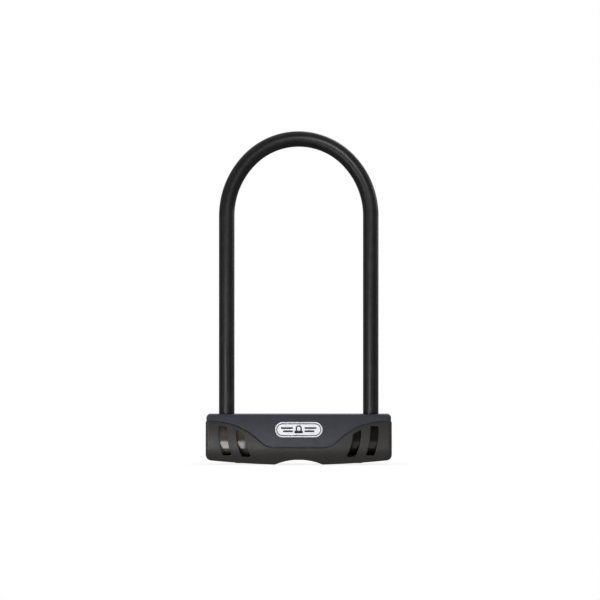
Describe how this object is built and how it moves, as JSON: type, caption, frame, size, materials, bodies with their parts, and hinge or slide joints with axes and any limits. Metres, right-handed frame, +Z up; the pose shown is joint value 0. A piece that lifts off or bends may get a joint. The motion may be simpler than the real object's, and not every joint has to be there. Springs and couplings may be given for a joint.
{
  "type": "bicycle u lock",
  "caption": "Bicycle U-lock: a vinyl-sleeved steel shackle that lifts out of a two-tone crossbar holding a wafer cylinder, a spiral cam and sliding bolts.",
  "frame": {"origin": "middle of the crossbar's box at its lowest level, on the cylinder's axis", "axes": "+X along the crossbar, -Y out of the badge side (front), +Z up the legs to the crown"},
  "size_m": [0.1596, 0.034, 0.2866],
  "materials": {
    "vinyl_black": "soft satin vinyl sleeve",
    "hardened_steel": "hardened, lightly oiled",
    "cover_slate": "fine moulded texture, satin slate grey",
    "cover_charcoal": "fine moulded texture, satin charcoal",
    "badge_silver": "satin silver",
    "case_black": "glossy black coat",
    "cast_zinc": "as-cast zinc alloy",
    "brass": "turned",
    "sintered_steel": "sintered, dull",
    "bright_steel": "bright zinc plate",
    "seal_rubber": "matt"
  },
  "bodies": {
    "crossbar": {"lower_cover": "cover_charcoal", "upper_cover": "cover_slate", "badge": "badge_silver", "lock_case": "case_black", "left_end_plug": "case_black", "right_end_plug": "case_black", "left_socket": "cast_zinc", "right_socket": "cast_zinc", "mechanism_block": "cast_zinc", "barrel": "brass", "barrel_pins": "bright_steel", "left_socket_pin": "bright_steel", "right_socket_pin": "bright_steel", "left_leg_seal": "seal_rubber", "right_leg_seal": "seal_rubber", "cover_screws": "bright_steel"},
    "cylinder_core": {"core_plug": "brass", "core_pins": "bright_steel", "drive_cam": "sintered_steel", "cam_screw": "bright_steel", "wafer_springs": "bright_steel"},
    "left_bolt_unit": {"left_bolt": "bright_steel", "left_bolt_peg": "bright_steel"},
    "right_bolt_unit": {"right_bolt": "bright_steel", "right_bolt_peg": "bright_steel"},
    "shackle": {"shackle_bar": "hardened_steel", "shackle_sleeve": "vinyl_black"},
    "wafer_unit_1": {"wafer_1": "brass"},
    "wafer_unit_2": {"wafer_2": "brass"},
    "wafer_unit_3": {"wafer_3": "brass"},
    "wafer_unit_4": {"wafer_4": "brass"},
    "wafer_unit_5": {"wafer_5": "brass"},
    "wafer_unit_6": {"wafer_6": "brass"},
    "wafer_unit_7": {"wafer_7": "brass"}
  },
  "joints": [
    {"name": "shackle_lift", "type": "slide", "parent": "crossbar", "child": "shackle", "axis": [0, 0, 1], "range_m": [0, 0.08]},
    {"name": "cylinder_turn", "type": "hinge", "parent": "crossbar", "child": "cylinder_core", "pos_m": [0, 0, 0.015], "axis": [0, 0, 1], "range_deg": [0, 90]},
    {"name": "left_bolt_slide", "type": "slide", "parent": "crossbar", "child": "left_bolt_unit", "axis": [-1, 0, 0], "range_m": [0, 0.005]},
    {"name": "right_bolt_slide", "type": "slide", "parent": "crossbar", "child": "right_bolt_unit", "axis": [1, 0, 0], "range_m": [0, 0.005]},
    {"name": "wafer_1_slide", "type": "slide", "parent": "cylinder_core", "child": "wafer_unit_1", "axis": [0, 1, 0], "range_m": [0, 0.001]},
    {"name": "wafer_2_slide", "type": "slide", "parent": "cylinder_core", "child": "wafer_unit_2", "axis": [0, -1, 0], "range_m": [0, 0.001]},
    {"name": "wafer_3_slide", "type": "slide", "parent": "cylinder_core", "child": "wafer_unit_3", "axis": [0, 1, 0], "range_m": [0, 0.001]},
    {"name": "wafer_4_slide", "type": "slide", "parent": "cylinder_core", "child": "wafer_unit_4", "axis": [0, -1, 0], "range_m": [0, 0.001]},
    {"name": "wafer_5_slide", "type": "slide", "parent": "cylinder_core", "child": "wafer_unit_5", "axis": [0, 1, 0], "range_m": [0, 0.001]},
    {"name": "wafer_6_slide", "type": "slide", "parent": "cylinder_core", "child": "wafer_unit_6", "axis": [0, -1, 0], "range_m": [0, 0.001]},
    {"name": "wafer_7_slide", "type": "slide", "parent": "cylinder_core", "child": "wafer_unit_7", "axis": [0, 1, 0], "range_m": [0, 0.001]}
  ],
  "couplings": [
    {"joint": "cylinder_turn", "follows": "left_bolt_slide", "rad_per_m": 314.15},
    {"joint": "right_bolt_slide", "follows": "left_bolt_slide", "ratio": 1},
    {"joint": "wafer_2_slide", "follows": "wafer_1_slide", "ratio": 1},
    {"joint": "wafer_3_slide", "follows": "wafer_1_slide", "ratio": 1},
    {"joint": "wafer_4_slide", "follows": "wafer_1_slide", "ratio": 1},
    {"joint": "wafer_5_slide", "follows": "wafer_1_slide", "ratio": 1},
    {"joint": "wafer_6_slide", "follows": "wafer_1_slide", "ratio": 1},
    {"joint": "wafer_7_slide", "follows": "wafer_1_slide", "ratio": 1}
  ]
}
